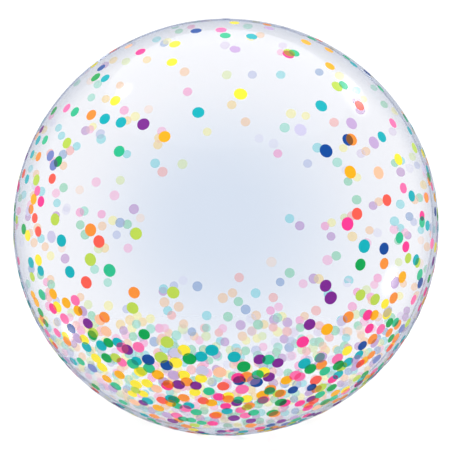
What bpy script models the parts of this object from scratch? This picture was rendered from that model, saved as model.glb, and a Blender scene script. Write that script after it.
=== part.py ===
"""Clear bubble balloon: two round sheets of stretch film, welded edge to edge and blown up.

The solid is the outside of the filled balloon. It stands on a small flat spot, with the
printed front towards -Y and the weld running round in the upright plane y = 0.
Units are metres, +Z is up, and the origin is the middle of the flat spot underneath.
"""

import math

import bmesh
import bpy
from mathutils import Matrix

# Driving sizes of the blown-up film
BALL_WIDTH = 0.610
BALL_DEPTH = 0.602
BALL_HEIGHT = 0.598

# Weld where the front sheet meets the back sheet
SEAM_STAND_OUT = 0.0022
SEAM_ROOT_WIDTH = 0.0050
SEAM_CREST_WIDTH = 0.0020

# Spot that the balloon's own weight presses flat
REST_SPOT_WIDTH = 0.070

# Fineness of the facets
FACETS_ROUND_SEAM = 80
FACETS_FRONT_TO_BACK = 40

MERGE_DISTANCE = 0.0001
CUT_TOLERANCE = 0.000001
SHARP_ANGLE = math.radians(30)

FILM_COLOR = (0.84, 0.88, 0.95, 1.0)
FILM_ROUGHNESS = 0.06
FILM_ALPHA = 0.35


def clear_objects():
    """Remove whatever the open file holds."""
    for obj in list(bpy.data.objects):
        bpy.data.objects.remove(obj, do_unlink=True)


def film_material():
    """Clear, faintly blue film."""
    material = bpy.data.materials.new("clear_film")
    material.use_nodes = True
    shader = material.node_tree.nodes["Principled BSDF"]
    shader.inputs["Base Color"].default_value = FILM_COLOR
    shader.inputs["Roughness"].default_value = FILM_ROUGHNESS
    shader.inputs["Metallic"].default_value = 0.0
    shader.inputs["Alpha"].default_value = FILM_ALPHA
    return material


def panel_outline(side):
    """Half profile of one sheet, from its pole to the weld; side is -1 in front, +1 behind."""
    weld_angle = math.acos(SEAM_ROOT_WIDTH / BALL_DEPTH)
    steps = FACETS_FRONT_TO_BACK // 2
    points = []
    for step in range(steps + 1):
        angle = weld_angle * step / steps
        distance = BALL_DEPTH / 2 * math.cos(angle)
        radius = BALL_WIDTH / 2 * math.sin(angle)
        points.append((side * distance, radius))
    return points


def ball_profile():
    """Points (y, radius) from the front pole, over the weld's ridge, to the back pole."""
    crest = BALL_WIDTH / 2 + SEAM_STAND_OUT
    ridge = [(-SEAM_CREST_WIDTH / 2, crest), (SEAM_CREST_WIDTH / 2, crest)]
    return panel_outline(-1) + ridge + panel_outline(1)[::-1]


def spin_profile(mesh):
    """Turn the profile once round the Y axis into a closed shell."""
    chain = [mesh.verts.new((radius, y, 0.0)) for y, radius in ball_profile()]
    edges = [mesh.edges.new(pair) for pair in zip(chain, chain[1:])]
    bmesh.ops.spin(
        mesh,
        geom=chain + edges,
        cent=(0.0, 0.0, 0.0),
        axis=(0.0, 1.0, 0.0),
        angle=2 * math.pi,
        steps=FACETS_ROUND_SEAM,
        use_merge=True,
    )
    bmesh.ops.remove_doubles(mesh, verts=mesh.verts, dist=MERGE_DISTANCE)


def rest_spot_depth():
    """How far up the round underside is pressed to make the flat spot."""
    share = REST_SPOT_WIDTH / BALL_WIDTH
    return BALL_HEIGHT / 2 * (1 - math.sqrt(1 - share ** 2))


def press_rest_spot(mesh):
    """Cut the underside flat, close it, and bring the flat to z = 0."""
    floor_level = rest_spot_depth() - BALL_HEIGHT / 2
    bmesh.ops.bisect_plane(
        mesh,
        geom=mesh.verts[:] + mesh.edges[:] + mesh.faces[:],
        dist=CUT_TOLERANCE,
        plane_co=(0.0, 0.0, floor_level),
        plane_no=(0.0, 0.0, -1.0),
        clear_outer=True,
    )
    rim = [edge for edge in mesh.edges if edge.is_boundary]
    spot = bmesh.ops.contextual_create(mesh, geom=rim)["faces"]
    bmesh.ops.translate(mesh, verts=mesh.verts, vec=(0.0, 0.0, -floor_level))
    for vert in spot[0].verts:
        vert.co.z = 0.0


def build_balloon():
    """The whole balloon as one solid."""
    mesh = bmesh.new()
    spin_profile(mesh)
    squat = Matrix.Diagonal((1.0, 1.0, BALL_HEIGHT / BALL_WIDTH))
    bmesh.ops.transform(mesh, matrix=squat.to_4x4(), verts=mesh.verts)
    press_rest_spot(mesh)
    bmesh.ops.recalc_face_normals(mesh, faces=mesh.faces)

    data = bpy.data.meshes.new("balloon")
    mesh.to_mesh(data)
    mesh.free()
    data.shade_smooth()
    data.set_sharp_from_angle(angle=SHARP_ANGLE)
    data.materials.append(film_material())
    balloon = bpy.data.objects.new("balloon", data)
    bpy.context.scene.collection.objects.link(balloon)
    return balloon


clear_objects()
build_balloon()
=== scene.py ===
"""A clear bubble balloon: two printed sheets of stretch film, welded at their edge and blown up.

Run as a script, it dresses the solid balloon of the frame. The film, its scattered dots and
the weld are modelled and finished here, and a plain pale stage is set round them.
"""

import math

import bpy
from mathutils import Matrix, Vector


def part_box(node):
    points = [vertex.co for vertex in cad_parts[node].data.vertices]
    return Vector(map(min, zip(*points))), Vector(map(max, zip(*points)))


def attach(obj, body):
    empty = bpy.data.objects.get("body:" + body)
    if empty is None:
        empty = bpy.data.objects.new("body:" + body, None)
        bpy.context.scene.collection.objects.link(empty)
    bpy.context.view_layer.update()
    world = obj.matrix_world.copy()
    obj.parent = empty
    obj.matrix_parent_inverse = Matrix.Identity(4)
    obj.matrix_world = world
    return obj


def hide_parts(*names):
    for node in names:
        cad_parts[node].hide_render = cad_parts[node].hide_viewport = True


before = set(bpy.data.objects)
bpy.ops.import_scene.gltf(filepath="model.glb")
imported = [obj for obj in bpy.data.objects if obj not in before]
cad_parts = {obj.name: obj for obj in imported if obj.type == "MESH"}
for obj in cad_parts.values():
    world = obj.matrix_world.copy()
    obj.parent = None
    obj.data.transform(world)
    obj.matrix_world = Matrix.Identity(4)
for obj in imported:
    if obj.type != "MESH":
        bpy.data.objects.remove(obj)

bl_info = {
    "name": "Clear Bubble Balloon",
    "version": (1, 0, 0),
    "blender": (4, 5, 0),
    "location": "3D View > Sidebar > Balloon",
    "description": "Models a blown-up balloon of clear film, printed with scattered dots",
    "category": "Object",
}

SOLID = "balloon"
BODY = "root"
FRONT, BACK = -1, 1

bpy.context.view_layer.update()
solid_low, solid_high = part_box(SOLID)

# Sizes that the solid was drawn to, in metres
WELD_STAND_OUT = 0.0022
FILM_WIDTH = solid_high.x - solid_low.x - 2 * WELD_STAND_OUT
FILM_DEPTH = solid_high.y - solid_low.y
FILM_HEIGHT = 0.598

# Nearness at which points count as one, and as lying in a plane, in metres
MERGE_DISTANCE = 1e-6
PLANE_DISTANCE = 1e-5

# Turn between two facets up to which they are shaded as one smooth surface
SMOOTH_ANGLE = math.radians(4)

# Order of a sheet's materials
OUTSIDE, INSIDE, WELD = 0, 1, 2


def linear(red, green, blue):
    """An ink or paint as mixed on screen, from 0 to 255, as linear light."""
    def channel(value):
        share = value / 255
        return share / 12.92 if share <= 0.04045 else ((share + 0.055) / 1.055) ** 2.4
    return channel(red), channel(green), channel(blue)


# Inks of the print: colour on screen, and how many dots in a hundred wear it
INKS = {
    "teal": ((0, 176, 187), 11),
    "orange": ((250, 146, 58), 10),
    "emerald": ((44, 192, 142), 9),
    "yellow": ((255, 236, 58), 9),
    "green": ((0, 164, 80), 7),
    "coral": ((250, 94, 80), 7),
    "pink": ((252, 112, 174), 8),
    "amber": ((252, 178, 22), 6),
    "purple": ((124, 36, 145), 6),
    "lime": ((188, 216, 82), 6),
    "navy": ((4, 72, 155), 5),
    "hot_pink": ((250, 56, 148), 5),
    "lilac": ((196, 168, 214), 4),
    "mist": ((204, 200, 230), 3),
    "periwinkle": ((120, 134, 198), 3),
    "peach": ((253, 196, 160), 2),
}


class FilmSettings(bpy.types.PropertyGroup):
    """Sizes and colour of the blown-up film."""

    width: bpy.props.FloatProperty(
        name="Width", description="Across the film, side to side", default=FILM_WIDTH, unit="LENGTH"
    )
    depth: bpy.props.FloatProperty(
        name="Depth", description="Across the film, front to back", default=FILM_DEPTH, unit="LENGTH"
    )
    height: bpy.props.FloatProperty(
        name="Height", description="Of the film before it is pressed flat below", default=FILM_HEIGHT,
        unit="LENGTH"
    )
    wall: bpy.props.FloatProperty(
        name="Wall", description="Thickness of the film", default=0.0003, unit="LENGTH"
    )
    segments: bpy.props.IntProperty(
        name="Segments", description="Facets round the weld", default=192, min=24
    )
    rings: bpy.props.IntProperty(
        name="Rings", description="Facets from front to back", default=96, min=12
    )
    tint: bpy.props.FloatVectorProperty(
        name="Tint", description="Colour that a sheet gives what is behind it, at its middle",
        default=(0.780, 0.822, 0.886), subtype="COLOR", min=0, max=1
    )
    side_tint: bpy.props.FloatVectorProperty(
        name="Side Tint", description="The same, half way to the weld, where the film is stretched thinner",
        default=(0.898, 0.903, 0.927), subtype="COLOR", min=0, max=1
    )
    # Painted shade: the rim tints darken film and inks where a sheet is seen edge on, partly for the longer
    # path through the film and partly standing in for darker surroundings mirrored at the rim
    front_rim_painted_shade: bpy.props.FloatVectorProperty(
        name="Front Rim Tint", description="The same, on the front sheet where it is seen edge on",
        default=(0.655, 0.685, 0.755), subtype="COLOR", min=0, max=1
    )
    back_rim_painted_shade: bpy.props.FloatVectorProperty(
        name="Back Rim Tint", description="The same, on the back sheet where it is seen edge on",
        default=(0.80, 0.81, 0.85), subtype="COLOR", min=0, max=1
    )
    gloss: bpy.props.FloatProperty(
        name="Gloss", description="How strongly the film's outside mirrors", default=0.8, subtype="FACTOR"
    )
    inner_gloss: bpy.props.FloatProperty(
        name="Inner Gloss", description="How strongly the film's inside mirrors", default=0.2,
        subtype="FACTOR"
    )


class PrintSettings(bpy.types.PropertyGroup):
    """The scattered dots."""

    dot: bpy.props.FloatProperty(
        name="Dot", description="Width of a dot in the sheet's middle, before it is varied",
        default=0.0176, unit="LENGTH"
    )
    pitch: bpy.props.FloatProperty(
        name="Pitch", description="Spacing of the dots where they lie thickest", default=0.0192,
        unit="LENGTH"
    )
    loose_pitch: bpy.props.FloatProperty(
        name="Loose Pitch", description="The same for the second run of dots, which overlap the first",
        default=0.0260, unit="LENGTH"
    )


class WeldSettings(bpy.types.PropertyGroup):
    """The welded rim."""

    stand_out: bpy.props.FloatProperty(
        name="Stand-out", description="How far the weld stands out from the film", default=WELD_STAND_OUT,
        unit="LENGTH"
    )
    half_width: bpy.props.FloatProperty(
        name="Half Width", description="From the weld's middle to where a sheet turns out into it",
        default=0.0025, unit="LENGTH"
    )
    half_gap: bpy.props.FloatProperty(
        name="Half Gap", description="From the weld's middle to either sheet at its crest", default=0.00035,
        unit="LENGTH"
    )
    tint: bpy.props.FloatVectorProperty(
        name="Tint", description="Colour of the two sheets where they are fused together",
        default=(0.70, 0.73, 0.82), subtype="COLOR", min=0, max=1
    )


def settings():
    """The three groups of sizes and colours."""
    scene = bpy.context.scene
    return scene.balloon_film, scene.balloon_print, scene.balloon_weld


def ball_centre():
    """Middle of the ball before its underside is pressed flat."""
    film, _, weld = settings()
    crest = film.height / 2 * (1 + weld.stand_out / (film.width / 2))
    return Vector((0.0, 0.0, solid_high.z - crest))


class Socket:
    """A shader value that takes part in Python expressions."""

    def __init__(self, tree, source):
        self.tree = tree
        self.source = source

    def maths(self, operation, other=0.0, swapped=False):
        """One step of arithmetic on this value and another, in either order."""
        pair = (other, self) if swapped else (self, other)
        return self.tree.add("ShaderNodeMath", {"operation": operation}, {0: pair[0], 1: pair[1]})

    def __add__(self, other):
        return self.maths("ADD", other)

    def __sub__(self, other):
        return self.maths("SUBTRACT", other)

    def __mul__(self, other):
        return self.maths("MULTIPLY", other)

    def __truediv__(self, other):
        return self.maths("DIVIDE", other)

    def __lt__(self, other):
        return self.maths("LESS_THAN", other)

    def __gt__(self, other):
        return self.maths("GREATER_THAN", other)

    def __radd__(self, other):
        return self.maths("ADD", other, swapped=True)

    def __rsub__(self, other):
        return self.maths("SUBTRACT", other, swapped=True)

    def __rmul__(self, other):
        return self.maths("MULTIPLY", other, swapped=True)

    def __rtruediv__(self, other):
        return self.maths("DIVIDE", other, swapped=True)


# Numbers of the colour sockets on a Mix node, and of the scale on a Vector Math node
MIX_FACTOR, MIX_FIRST, MIX_SECOND, MIX_RESULT = 0, 6, 7, 2
VECTOR_SCALE = 3


class Tree:
    """A node tree that is filled by calls and expressions."""

    def __init__(self, owner):
        owner.use_nodes = True
        self.nodes = owner.node_tree.nodes
        self.links = owner.node_tree.links
        self.nodes.clear()

    def add(self, kind, choices=None, inputs=None, output=0):
        """A node of one kind with its choices, then its inputs; gives one of its outputs."""
        node = self.nodes.new(kind)
        for name, value in (choices or {}).items():
            if name == "stops":
                set_stops(node.color_ramp, value)
            else:
                setattr(node, name, value)
        for name, value in (inputs or {}).items():
            if isinstance(value, Socket):
                self.links.new(value.source, node.inputs[name])
            else:
                node.inputs[name].default_value = value
        return Socket(self, node.outputs[output])

    def also(self, socket, output):
        """Another output of the node that a value came from."""
        return Socket(self, socket.source.node.outputs[output])

    def mix(self, factor, first, second, blend="MIX"):
        """Two colours mixed."""
        return self.add(
            "ShaderNodeMix",
            {"data_type": "RGBA", "blend_type": blend},
            {MIX_FACTOR: factor, MIX_FIRST: first, MIX_SECOND: second},
            MIX_RESULT,
        )

    def vector(self, operation, first, second=(0.0, 0.0, 0.0), scale=1.0, output=0):
        """Vector maths on one or two vectors."""
        inputs = {0: first, 1: second, VECTOR_SCALE: scale}
        return self.add("ShaderNodeVectorMath", {"operation": operation}, inputs, output)

    def smooth(self, value, low, high, to_low=0.0, to_high=1.0):
        """A value eased from one range to another."""
        return self.add(
            "ShaderNodeMapRange",
            {"interpolation_type": "SMOOTHSTEP"},
            {"Value": value, "From Min": low, "From Max": high, "To Min": to_low, "To Max": to_high},
        )

    def finish(self, surface, kind="ShaderNodeOutputMaterial"):
        """Connect the last shader to the output."""
        end = self.nodes.new(kind)
        self.links.new(surface.source, end.inputs["Surface"])


def set_stops(ramp, stops):
    """Give a ramp its hard-edged stops."""
    ramp.interpolation = "CONSTANT"
    while len(ramp.elements) > 1:
        ramp.elements.remove(ramp.elements[-1])
    for index, (place, colour) in enumerate(stops):
        element = ramp.elements[0] if index == 0 else ramp.elements.new(place)
        element.position = place
        element.color = (*colour, 1.0)


def ink_stops():
    """Where each ink begins along a draw from 0 to 1."""
    total = sum(share for _, share in INKS.values())
    place = 0.0
    stops = []
    for colour, share in INKS.values():
        stops.append((place, linear(*colour)))
        place += share / total
    return stops


# How much more a sheet is stretched outwards beside the weld than in its middle: 0 for no more
SIDE_STRETCH = {FRONT: 0.40, BACK: 0.66}

# Keeps the sheet's very middle from a division by nothing
LEAST_SINE = 0.001


def sheet_radius(side):
    """Radius of a sheet as it lay flat, in metres."""
    film, _, _ = settings()
    return film.width / 2 * math.sin(SIDE_STRETCH[side] * math.pi / 2) / SIDE_STRETCH[side]


def flat_place(tree, side):
    """Where a point of the film lay on the flat sheet, in metres, and its angle from the pole."""
    film, _, _ = settings()
    centre = ball_centre()
    place = tree.add("ShaderNodeTexCoord", output="Object")
    moved = tree.vector("SUBTRACT", place, centre)
    unit = tree.vector("DIVIDE", moved, (film.width / 2, film.depth / 2, film.height / 2))
    unit = tree.vector("NORMALIZE", unit)
    x = tree.add("ShaderNodeSeparateXYZ", None, {0: unit}, output="X")
    y = tree.also(x, "Y")
    z = tree.also(x, "Z")
    polar = (y * side).maths("ARCCOSINE")
    gather = SIDE_STRETCH[side]
    reach = (polar * gather).maths("SINE") * (film.width / 2 / gather)
    reach = reach / (1 - y * y).maths("SQRT").maths("MAXIMUM", LEAST_SINE)
    flat = tree.add("ShaderNodeCombineXYZ", None, {0: x * reach, 1: z * reach})
    return flat, polar


# How thickly the dots lie over a sheet whose radius is 1. The bare part lies a little above the
# sheet's middle, and its soft edge runs from the first distance to the second.
VOID_FROM, VOID_TO = 0.20, 0.40
VOID_LIFT = 0.04

# A place's level is how far it lies under the sheet's middle, plus its distance from the bare
# part's middle up to this limit
SPREAD_FROM_MIDDLE = 0.52

# Levels over which the loose dots thicken, and their share above that
LEAN_FROM, LEAN_TO = -0.30, 0.60
LEAN_LEAST = {FRONT: 0.28, BACK: 0.52}

# Levels over which the dots crowd together below
CROWD = {FRONT: (0.62, 0.98), BACK: (0.80, 1.16)}

# Distances from the bare part's middle over which both kinds of dots change, and to what shares
EDGE_FROM, EDGE_TO = 0.50, 0.72
LOOSE_AT_EDGE = 1.7
CROWD_AT_EDGE = {FRONT: 0.25, BACK: 1.0}


def dot_chance(tree, spot, side, sparse, dense):
    """Chance that a dot lying at a place on the flat sheet is printed."""
    share = tree.vector("SCALE", spot, scale=1 / sheet_radius(side))
    height = tree.add("ShaderNodeSeparateXYZ", None, {0: share}, output="Y")
    from_void = tree.vector("DISTANCE", share, (0.0, VOID_LIFT, 0.0), output="Value")
    level = from_void.maths("MINIMUM", SPREAD_FROM_MIDDLE) - height
    lean = tree.smooth(level, LEAN_FROM, LEAN_TO, LEAN_LEAST[side] * sparse, sparse)
    crowd = tree.smooth(level, *CROWD[side], 0.0, dense - sparse)
    lean = lean * tree.smooth(from_void, EDGE_FROM, EDGE_TO, 1.0, LOOSE_AT_EDGE)
    crowd = crowd * tree.smooth(from_void, EDGE_FROM, EDGE_TO, 1.0, CROWD_AT_EDGE[side])
    return (lean + crowd) * tree.smooth(from_void, VOID_FROM, VOID_TO)


# Runs of the press: turn of the pattern in radians, its unevenness from 0 to 1, and the chance of
# a dot where they lie loose and where they crowd
RUNS = ((0.45, 0.62, 0.17, 1.0), (1.30, 0.90, 0.09, 0.95))

# Where the pattern starts, how far each run and each sheet moves it on, in metres
START_X, START_Y = 5.1, 3.4
RUN_X, RUN_Y = 1.3, 4.1
SHEET_X = 5.2

# Smallest dot against the usual width, and how much more the largest has
LEAST_DOT = 0.86
DOT_SPREAD = 0.18


def printed_run(tree, flat, run, side):
    """One run of the press: pairs of where a dot lies and its ink."""
    _, dots, _ = settings()
    turn, jitter, sparse, dense = RUNS[run]
    pitch = (dots.pitch, dots.loose_pitch)[run]
    start = (START_X + RUN_X * run + SHEET_X * side, START_Y + RUN_Y * run, 0.0)
    lay = {"Rotation": (0.0, 0.0, turn), "Location": start}
    laid = tree.add("ShaderNodeMapping", {"vector_type": "TEXTURE"}, {"Vector": flat, **lay})
    found = []
    for feature in ("F1", "F2"):
        distance = tree.add(
            "ShaderNodeTexVoronoi",
            {"voronoi_dimensions": "2D", "feature": feature},
            {"Vector": laid, "Scale": 1 / pitch, "Randomness": jitter},
            output="Distance",
        )
        draw = tree.add("ShaderNodeSeparateColor", None, {0: tree.also(distance, "Color")}, output="Red")
        spot = tree.add(
            "ShaderNodeMapping", {"vector_type": "POINT"}, {"Vector": tree.also(distance, "Position"), **lay}
        )
        radius = dots.dot / 2 / pitch
        size = radius * LEAST_DOT + tree.also(draw, "Blue") * (radius * DOT_SPREAD)
        chance = dot_chance(tree, spot, side, sparse, dense)
        there = (distance < size) * (tree.also(draw, "Green") < chance)
        found.append((there, tree.add("ShaderNodeValToRGB", {"stops": ink_stops()}, {0: draw})))
    return found


# How far an ink hides the inks under it
HIDING = 0.25


def confetti(tree, side):
    """Where a sheet is printed, the print's colour, and the angle from the pole; overlaps darken."""
    flat, polar = flat_place(tree, side)
    bare = 1.0
    colour = (1.0, 1.0, 1.0, 1.0)
    for run in range(len(RUNS)):
        for there, ink in printed_run(tree, flat, run, side):
            colour = tree.mix(there, colour, ink, "MULTIPLY")
            colour = tree.mix(there * HIDING, colour, ink)
            bare = (1 - there) * bare
    return 1 - bare, colour, polar


# Gloss of film and inks, the share of it that they keep where they are seen edge on, and how
# the loss comes in from 0 face on to 1 edge on
COAT_IOR = 1.3
COAT_ROUGHNESS = 0.06
RIM_GLOSS = 0.3
GLOSS_RIM = (0.72, 0.90)

# Where film and inks turn to the rim's painted shade, likewise, and its brightness over the inks
FILM_RIM_SHADE = (0.55, 0.85)
INK_RIM_SHADE = (0.70, 0.92)
INK_SHADE_AT_RIM = 0.72

# Angles from the pole over which the film's tint turns to its side tint
SIDE_FROM, SIDE_TO = math.radians(8), math.radians(52)


def edge_on(tree):
    """How far the surface is turned from the viewer: 0 face on, 1 edge on."""
    return tree.add("ShaderNodeLayerWeight", None, {"Blend": 0.5}, output="Facing")


def painted_shade_towards_rim(tree, facing, side, colour, span, strength=1.0):
    """A colour that turns to a painted shade, darker at the rim, where the sheet is seen edge on."""
    film, _, _ = settings()
    rim_shade = film.front_rim_painted_shade if side == FRONT else film.back_rim_painted_shade
    rim = [strength * value for value in rim_shade]
    return tree.mix(tree.smooth(facing, *span), colour, (*rim, 1.0))


def dulled(tree, facing, gloss):
    """A gloss that fades where the sheet is seen edge on."""
    return tree.smooth(facing, *GLOSS_RIM, gloss, RIM_GLOSS * gloss)


def film_shader(tree, polar, facing, side, inside):
    """Clear film by plain values: too thin to bend light, so its gloss comes from a coat."""
    film, _, _ = settings()
    stretch = tree.smooth(polar, SIDE_FROM, SIDE_TO)
    tint = tree.mix(stretch, (*film.tint, 1.0), (*film.side_tint, 1.0))
    # Painted shade: the film's tint darkens towards the rim where it is seen edge on
    tint = painted_shade_towards_rim(tree, facing, side, tint, FILM_RIM_SHADE)
    return tree.add(
        "ShaderNodeBsdfPrincipled",
        None,
        {
            "Base Color": tint,
            "Roughness": 0.0,
            "IOR": 1.0,
            "Transmission Weight": 1.0,
            "Coat Weight": dulled(tree, facing, film.inner_gloss if inside else film.gloss),
            "Coat Roughness": COAT_ROUGHNESS,
            "Coat IOR": COAT_IOR,
        },
    )


# Gloss, roughness and strength of the inks from outside
INK_GLOSS = 0.5
INK_ROUGHNESS = 0.35
INK_STRENGTH = 0.88

# How the inside inks are painted paler, a painted glow of light shining through them
PAINTED_GLOW_GAMMA = 0.70
PALE_SHARE = 0.23
PALE_TINT = (0.88, 0.90, 0.95, 1.0)


def printed_film(name, side, inside):
    """Film with its print: full inks from outside; from inside, inks that let light through, painted paler
    as a glow.
    """
    film, _, _ = settings()
    material = bpy.data.materials.new(name)
    tree = Tree(material)
    coverage, colour, polar = confetti(tree, side)
    facing = edge_on(tree)
    strength = 1.0 if inside else INK_STRENGTH
    if inside:
        # Painted glow: the inside inks are painted paler than the ink, standing in for light shining through
        # them
        colour = tree.add("ShaderNodeGamma", None, {"Color": colour, "Gamma": PAINTED_GLOW_GAMMA})
        colour = tree.mix(PALE_SHARE, colour, PALE_TINT)
    else:
        coverage = coverage * (1 - tree.add("ShaderNodeNewGeometry", output="Backfacing"))
    # Painted shade: the inks darken towards the rim where the sheet is seen edge on
    shade = painted_shade_towards_rim(tree, facing, side, (strength, strength, strength, 1.0), INK_RIM_SHADE, INK_SHADE_AT_RIM)
    ink = tree.add(
        "ShaderNodeBsdfPrincipled",
        None,
        {
            "Base Color": tree.mix(1.0, colour, shade, "MULTIPLY"),
            "Roughness": 0.0 if inside else INK_ROUGHNESS,
            "IOR": 1.0,
            "Transmission Weight": 1.0 if inside else 0.0,
            "Coat Weight": dulled(tree, facing, film.inner_gloss if inside else INK_GLOSS),
            "Coat Roughness": COAT_ROUGHNESS,
            "Coat IOR": COAT_IOR,
        },
    )
    clear = film_shader(tree, polar, facing, side, inside)
    printed = tree.add("ShaderNodeMixShader", None, {0: coverage, 1: clear, 2: ink})
    tree.finish(softly_shading(tree, printed))
    return material


# Share of the light on its way to other surfaces that film and print let straight through
LIGHT_PASSED = 0.82


def softly_shading(tree, surface):
    """Let part of the light through to what it falls on next; the surface itself looks the same."""
    scattered = tree.add("ShaderNodeLightPath", output="Is Diffuse Ray")
    light = scattered + tree.also(scattered, "Is Shadow Ray")
    straight = tree.add("ShaderNodeBsdfTransparent")
    return tree.add("ShaderNodeMixShader", None, {0: light * LIGHT_PASSED, 1: surface, 2: straight})


# Finish of the weld
WELD_ROUGHNESS = 0.15
WELD_TRANSMISSION = 0.85
WELD_COAT_ROUGHNESS = 0.1


def weld_film():
    """The two sheets fused together, which look milkier."""
    film, _, weld = settings()
    material = bpy.data.materials.new("weld_film")
    tree = Tree(material)
    facing = edge_on(tree)
    surface = tree.add(
        "ShaderNodeBsdfPrincipled",
        None,
        {
            "Base Color": (*weld.tint, 1.0),
            "Roughness": WELD_ROUGHNESS,
            "IOR": 1.0,
            "Transmission Weight": WELD_TRANSMISSION,
            "Coat Weight": dulled(tree, facing, film.gloss),
            "Coat Roughness": WELD_COAT_ROUGHNESS,
        },
    )
    tree.finish(softly_shading(tree, surface))
    return material


def choose(obj, wanted):
    """In edit mode, select just the vertices that pass a test of their place."""
    bpy.ops.mesh.select_mode(type="VERT")
    bpy.ops.mesh.select_all(action="DESELECT")
    bpy.ops.object.mode_set(mode="OBJECT")
    for vert in obj.data.vertices:
        vert.select = wanted(vert.co)
    bpy.ops.object.mode_set(mode="EDIT")


def start_piece(name):
    """Name the primitive just added and put its place into its mesh."""
    obj = bpy.context.active_object
    obj.name = name
    obj.data.name = name
    bpy.ops.object.transform_apply(location=True, rotation=True, scale=True)
    return obj


def seat_piece(obj):
    """Let a finished piece stand for the solid and move with it."""
    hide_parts(SOLID)
    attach(obj, BODY)


def model_sheet(name, side):
    """Half of the ball, turned out into the weld at its edge and pressed flat below."""
    film, _, weld = settings()
    centre = ball_centre()
    bpy.ops.object.select_all(action="DESELECT")
    bpy.ops.mesh.primitive_uv_sphere_add(
        segments=film.segments, ring_count=film.rings, radius=film.width / 2, location=centre,
        rotation=(math.pi / 2, 0.0, 0.0),
    )
    obj = start_piece(name)
    bpy.ops.object.mode_set(mode="EDIT")
    bpy.ops.mesh.select_all(action="SELECT")
    bpy.ops.transform.resize(
        value=(1.0, film.depth / film.width, film.height / film.width), center_override=centre
    )
    bpy.ops.mesh.bisect(
        plane_co=(0.0, side * weld.half_width, 0.0), plane_no=(0.0, -side, 0.0), clear_outer=True,
        threshold=MERGE_DISTANCE
    )
    choose(obj, lambda place: abs(place.y - side * weld.half_width) < PLANE_DISTANCE)
    bpy.ops.mesh.extrude_region_move()
    grow = 1 + weld.stand_out / (film.width / 2)
    bpy.ops.transform.resize(value=(grow, 1.0, grow), center_override=centre)
    bpy.ops.transform.translate(value=(0.0, side * (weld.half_gap - weld.half_width), 0.0))
    bpy.ops.mesh.select_all(action="SELECT")
    bpy.ops.mesh.bisect(
        plane_co=(0.0, 0.0, 0.0), plane_no=(0.0, 0.0, -1.0), threshold=MERGE_DISTANCE
    )
    choose(obj, lambda place: place.z < PLANE_DISTANCE)
    bpy.ops.transform.resize(value=(1.0, 1.0, 0.0), center_override=(0.0, 0.0, 0.0))
    bpy.ops.mesh.select_all(action="SELECT")
    bpy.ops.mesh.remove_doubles(threshold=MERGE_DISTANCE)
    bpy.ops.mesh.normals_make_consistent(inside=False)
    bpy.ops.object.mode_set(mode="OBJECT")
    return obj


def finish_sheet(obj, side, word):
    """Give a sheet its materials, its inner wall and its smooth shading."""
    film, _, weld = settings()
    obj.data.materials.append(printed_film(f"printed_film_{word}_outside", side, False))
    obj.data.materials.append(printed_film(f"printed_film_{word}_inside", side, True))
    obj.data.materials.append(bpy.data.materials.get("weld_film") or weld_film())
    for polygon in obj.data.polygons:
        polygon.material_index = WELD if abs(polygon.center.y) < weld.half_width else OUTSIDE
    wall = obj.modifiers.new("wall", "SOLIDIFY")
    wall.thickness = film.wall
    wall.offset = -1.0
    wall.material_offset = INSIDE - OUTSIDE
    wall.use_even_offset = True
    bpy.ops.object.modifier_apply(modifier=wall.name)
    bpy.ops.object.shade_smooth_by_angle(angle=SMOOTH_ANGLE)
    seat_piece(obj)


class BALLOON_OT_sheets(bpy.types.Operator):
    """Model the two printed sheets of film"""

    bl_idname = "balloon.sheets"
    bl_label = "Film Sheets"

    def execute(self, context):
        for word, side in (("front", FRONT), ("back", BACK)):
            obj = model_sheet(f"{word}_sheet", side)
            finish_sheet(obj, side, word)
        return {"FINISHED"}


# The photograph's frame, and where the ball lies in it, in its pixels
FRAME_PIXELS = 452
BALL_CENTRE_X = 225.9
BALL_CENTRE_Y = 227.1
BALL_HALF_WIDTH_PIXELS = 213.0

# Camera: degrees to the right of the ball's front and above level, and radii of the ball away
VIEW_AZIMUTH = -3.0
VIEW_ELEVATION = 3.0
VIEW_DISTANCE_IN_RADII = 5.0
SENSOR_WIDTH = 36.0

# Brightness of the walls and how much brighter the ceiling is; the height at which it begins
# and half the breadth of its soft edge, in degrees above level
WALL_LIGHT = 1.12
CEILING_EXTRA = 0.9
CEILING_EDGE = 44.0
CEILING_SOFTNESS = 0.6

# Floor, in metres
FLOOR_RADIUS = 1.2
FLOOR_SIDES = 96
FLOOR_GAP = 0.0005

# Softboxes: where in the picture each is mirrored, its distance, width, height and brightness
SOFTBOXES = {
    "upper_left": ((124, 88), 1.2, 0.29, 0.21, 17.0),
    "upper_right": ((354, 92), 1.2, 0.75, 0.36, 10.0),
    "lower_right": ((390, 282), 0.5, 0.18, 0.18, 14.0),
    "lower_left": ((72, 335), 0.30, 0.14, 0.11, 9.0),
}


def aim(obj, target):
    """Turn a camera or lamp towards a point."""
    obj.rotation_euler = (target - obj.location).to_track_quat("-Z", "Y").to_euler()


def view_axes():
    """Unit directions from the ball to the camera, to its right and to its top."""
    turn, lift = math.radians(VIEW_AZIMUTH), math.radians(VIEW_ELEVATION)
    back = Vector((math.sin(turn) * math.cos(lift), -math.cos(turn) * math.cos(lift), math.sin(lift)))
    right = Vector((0.0, 0.0, 1.0)).cross(back).normalized()
    return back, right, back.cross(right)


def camera_place():
    """Where the camera stands."""
    film, _, _ = settings()
    return ball_centre() + view_axes()[0] * VIEW_DISTANCE_IN_RADII * film.width / 2


def outline_slope():
    """Slope of the rays that graze the ball, against the camera's axis."""
    return 1 / math.sqrt(VIEW_DISTANCE_IN_RADII ** 2 - 1)


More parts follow.
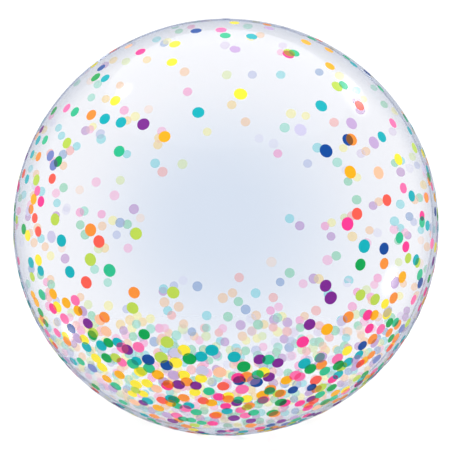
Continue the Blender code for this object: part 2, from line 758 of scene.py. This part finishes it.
def add_camera():
    """The camera at the photograph's angle and distance."""
    data = bpy.data.cameras.new("camera")
    data.sensor_width = SENSOR_WIDTH
    frame_slope = outline_slope() * (FRAME_PIXELS / 2) / BALL_HALF_WIDTH_PIXELS
    data.lens = data.sensor_width / 2 / frame_slope
    data.shift_x = (FRAME_PIXELS / 2 - BALL_CENTRE_X) / FRAME_PIXELS
    data.shift_y = (BALL_CENTRE_Y - FRAME_PIXELS / 2) / FRAME_PIXELS
    camera = bpy.data.objects.new("camera", data)
    bpy.context.scene.collection.objects.link(camera)
    camera.location = camera_place()
    aim(camera, ball_centre())
    bpy.context.scene.camera = camera


def mirrored(pixel_x, pixel_y):
    """The place on the ball seen at a place in the picture, and the direction mirrored there."""
    film, _, _ = settings()
    radius = film.width / 2
    back, right, up = view_axes()
    across = (pixel_x - BALL_CENTRE_X) / BALL_HALF_WIDTH_PIXELS * outline_slope()
    high = (BALL_CENTRE_Y - pixel_y) / BALL_HALF_WIDTH_PIXELS * outline_slope()
    ray = (right * across + up * high - back).normalized()
    from_centre = camera_place() - ball_centre()
    half = from_centre.dot(ray)
    reach = -half - math.sqrt(half ** 2 - from_centre.dot(from_centre) + radius ** 2)
    spot = camera_place() + ray * reach
    normal = (spot - ball_centre()).normalized()
    return spot, ray - 2 * normal.dot(ray) * normal


def add_softbox(name, place, target, width, height, radiance):
    """A lamp that faces a point, brightest in its middle and fading softly to its edge."""
    data = bpy.data.lights.new(name, "AREA")
    data.shape = "RECTANGLE"
    data.size = width
    data.size_y = height
    data.energy = math.pi * width * height
    tree = Tree(data)
    across = tree.add("ShaderNodeNewGeometry", output="Parametric")
    middle = 0.5
    from_middle = tree.vector("DISTANCE", across, (middle, middle, 0.0), output="Value")
    glow = tree.smooth(middle - from_middle, 0.0, middle, 0.0, radiance)
    tree.finish(tree.add("ShaderNodeEmission", None, {"Strength": glow}), kind="ShaderNodeOutputLight")
    lamp = bpy.data.objects.new(name, data)
    bpy.context.scene.collection.objects.link(lamp)
    lamp.location = place
    aim(lamp, target)
    lamp.visible_camera = False
    lamp.visible_diffuse = False
    lamp.visible_transmission = False


def add_mirrored_softbox(name, pixel, distance, width, height, radiance):
    """A softbox whose reflection shows at a place in the picture."""
    spot, direction = mirrored(*pixel)
    add_softbox(name, spot + direction * distance, spot, width, height, radiance)


def add_world():
    """White surroundings under a brighter ceiling, whose edge shows as a soft arc in the film."""
    world = bpy.data.worlds.new("studio")
    bpy.context.scene.world = world
    tree = Tree(world)
    way = tree.add("ShaderNodeTexCoord", output="Generated")
    height = tree.add("ShaderNodeSeparateXYZ", None, {0: way}, output="Z")
    steps = (-CEILING_SOFTNESS, CEILING_SOFTNESS)
    edge = [math.sin(math.radians(CEILING_EDGE + step)) for step in steps]
    strength = tree.smooth(height, *edge, WALL_LIGHT, WALL_LIGHT + CEILING_EXTRA)
    light = tree.add("ShaderNodeBackground", None, {"Color": (1.0, 1.0, 1.0, 1.0), "Strength": strength})
    tree.finish(light, kind="ShaderNodeOutputWorld")


def floor_colour():
    """The paint that looks as bright as the walls under this light."""
    ceiling_share = math.cos(math.radians(CEILING_EDGE)) ** 2
    return WALL_LIGHT / (WALL_LIGHT + CEILING_EXTRA * ceiling_share)


def add_floor():
    """A wide pale floor just under the balloon."""
    bpy.ops.object.select_all(action="DESELECT")
    bpy.ops.mesh.primitive_circle_add(
        vertices=FLOOR_SIDES, radius=FLOOR_RADIUS, fill_type="NGON", location=(0.0, 0.0, -FLOOR_GAP)
    )
    floor = start_piece("floor")
    material = bpy.data.materials.new("floor_paint")
    tree = Tree(material)
    grey = floor_colour()
    paint = {"Base Color": (grey, grey, grey, 1.0), "Roughness": 1.0, "Specular IOR Level": 0.0}
    tree.finish(tree.add("ShaderNodeBsdfPrincipled", None, paint))
    floor.data.materials.append(material)


class BALLOON_OT_stage(bpy.types.Operator):
    """Set the floor, the light and the camera"""

    bl_idname = "balloon.stage"
    bl_label = "Stage"

    def execute(self, context):
        add_floor()
        add_world()
        add_camera()
        for name, values in SOFTBOXES.items():
            add_mirrored_softbox(name, *values)
        context.scene.view_settings.view_transform = "Standard"
        return {"FINISHED"}


class BALLOON_PT_panel(bpy.types.Panel):
    """The balloon's steps and sizes"""

    bl_idname = "BALLOON_PT_panel"
    bl_label = "Bubble Balloon"
    bl_space_type = "VIEW_3D"
    bl_region_type = "UI"
    bl_category = "Balloon"

    def draw(self, context):
        for group in settings():
            for name in group.bl_rna.properties.keys():
                if name not in ("rna_type", "name"):
                    self.layout.prop(group, name)
        for step in STEPS:
            self.layout.operator(step.bl_idname)


GROUPS = {"balloon_film": FilmSettings, "balloon_print": PrintSettings, "balloon_weld": WeldSettings}
STEPS = (BALLOON_OT_sheets, BALLOON_OT_stage)


def register():
    """Make the sizes, the steps and the panel known to Blender."""
    for name, group in GROUPS.items():
        bpy.utils.register_class(group)
        setattr(bpy.types.Scene, name, bpy.props.PointerProperty(type=group))
    for step in STEPS:
        bpy.utils.register_class(step)
    bpy.utils.register_class(BALLOON_PT_panel)


def unregister():
    """Take them away again."""
    bpy.utils.unregister_class(BALLOON_PT_panel)
    for step in reversed(STEPS):
        bpy.utils.unregister_class(step)
    for name, group in GROUPS.items():
        delattr(bpy.types.Scene, name)
        bpy.utils.unregister_class(group)


def main():
    """Model the balloon and its stage."""
    register()
    bpy.ops.balloon.sheets()
    bpy.ops.balloon.stage()


if __name__ == "__main__":
    main()
